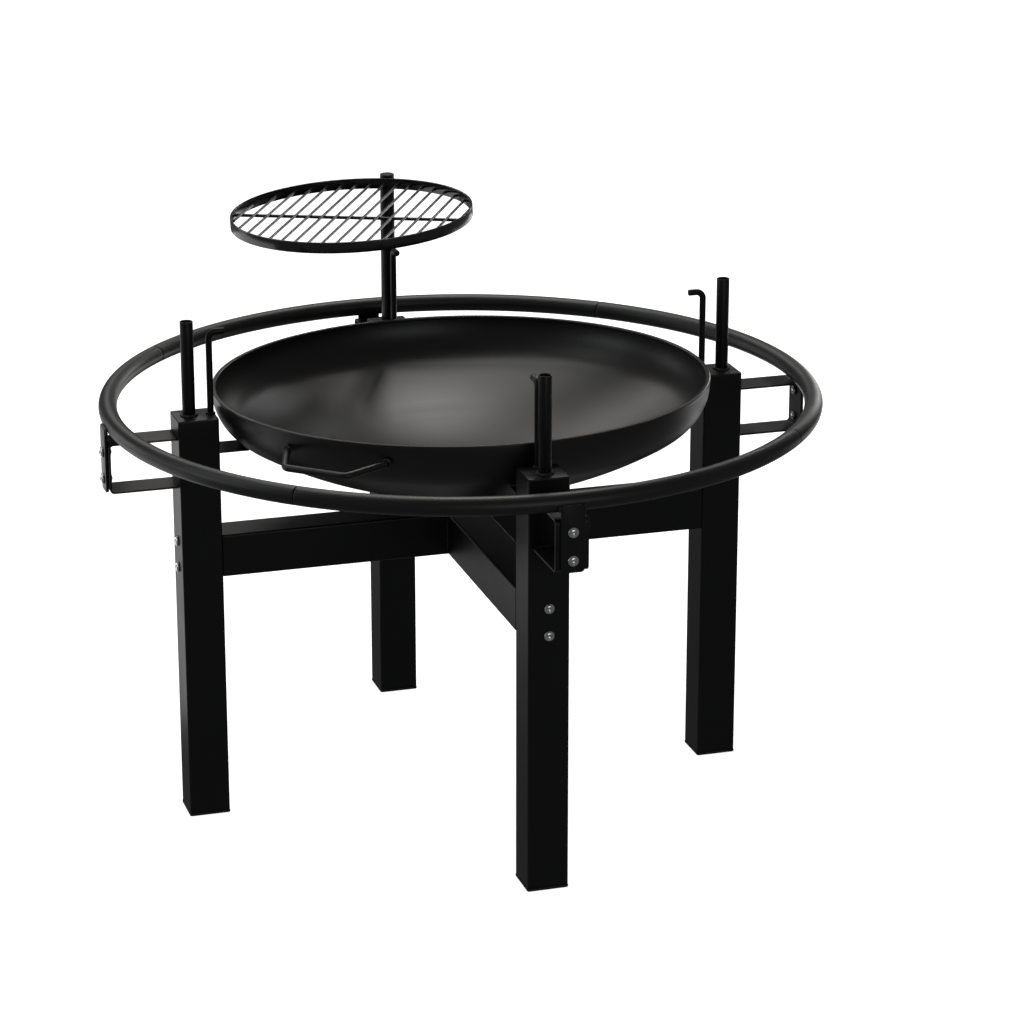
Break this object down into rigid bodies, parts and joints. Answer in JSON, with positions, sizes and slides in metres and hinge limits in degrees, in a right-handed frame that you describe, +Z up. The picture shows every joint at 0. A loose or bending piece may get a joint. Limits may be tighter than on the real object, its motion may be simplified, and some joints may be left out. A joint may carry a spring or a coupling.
{
  "type": "fire pit with grate",
  "caption": "Round dished fire bowl on a frame of square-tube legs, with a round guard rail, posts, hooks and a swivel grate that hangs on one post.",
  "frame": {"origin": "on the floor, at the middle of the four feet", "axes": "+Z up; +X from the left leg to the right leg; -Y towards the front leg; the grate's post is on +Y"},
  "size_m": [1.0802, 1.0802, 0.8498],
  "materials": {
    "black_coat": "black powder coat, satin, fine grain",
    "bowl_coat": "black heat-resistant paint, satin",
    "grate_black": "black coated steel rod, slightly glossy",
    "zinc": "bright zinc plate",
    "foot_plastic": "moulded black plastic"
  },
  "bodies": {
    "frame": {"leg_right": "black_coat", "foot_right": "foot_plastic", "post_right": "black_coat", "hook_right": "black_coat", "rail_bracket_right": "black_coat", "rail_tab_right": "black_coat", "rail_right": "black_coat", "bowl_arm_right": "black_coat", "leg_bolt_right_upper": "zinc", "rail_bolt_right_upper": "zinc", "leg_bolt_right_lower": "zinc", "rail_bolt_right_lower": "zinc", "leg_rear": "black_coat", "foot_rear": "foot_plastic", "post_rear": "black_coat", "hook_rear": "black_coat", "rail_bracket_rear": "black_coat", "rail_tab_rear": "black_coat", "rail_rear": "black_coat", "bowl_arm_rear": "black_coat", "leg_bolt_rear_upper": "zinc", "rail_bolt_rear_upper": "zinc", "leg_bolt_rear_lower": "zinc", "rail_bolt_rear_lower": "zinc", "leg_left": "black_coat", "foot_left": "foot_plastic", "post_left": "black_coat", "hook_left": "black_coat", "rail_bracket_left": "black_coat", "rail_tab_left": "black_coat", "rail_left": "black_coat", "bowl_arm_left": "black_coat", "leg_bolt_left_upper": "zinc", "rail_bolt_left_upper": "zinc", "leg_bolt_left_lower": "zinc", "rail_bolt_left_lower": "zinc", "leg_front": "black_coat", "foot_front": "foot_plastic", "post_front": "black_coat", "hook_front": "black_coat", "rail_bracket_front": "black_coat", "rail_tab_front": "black_coat", "rail_front": "black_coat", "bowl_arm_front": "black_coat", "leg_bolt_front_upper": "zinc", "rail_bolt_front_upper": "zinc", "leg_bolt_front_lower": "zinc", "rail_bolt_front_lower": "zinc", "cross_beam": "black_coat", "front_beam": "black_coat", "rear_beam": "black_coat"},
    "bowl": {"bowl": "bowl_coat", "handle_front_left": "bowl_coat", "handle_rear_right": "bowl_coat"},
    "grate_sleeve": {"grate_sleeve": "black_coat", "grate_sleeve_cap": "foot_plastic"},
    "grate": {"grate_band": "black_coat", "grate_bars": "grate_black"}
  },
  "joints": [
    {"name": "bowl_lift", "type": "slide", "parent": "frame", "child": "bowl", "axis": [0, 0, 1], "range_m": [0, 0.08]},
    {"name": "grate_lift", "type": "slide", "parent": "frame", "child": "grate_sleeve", "axis": [0, 0, 1], "range_m": [0, 0.14]},
    {"name": "grate_swing", "type": "hinge", "parent": "grate_sleeve", "child": "grate", "pos_m": [0, 0.408, 0.829], "axis": [0, 0, 1], "continuous": true}
  ]
}
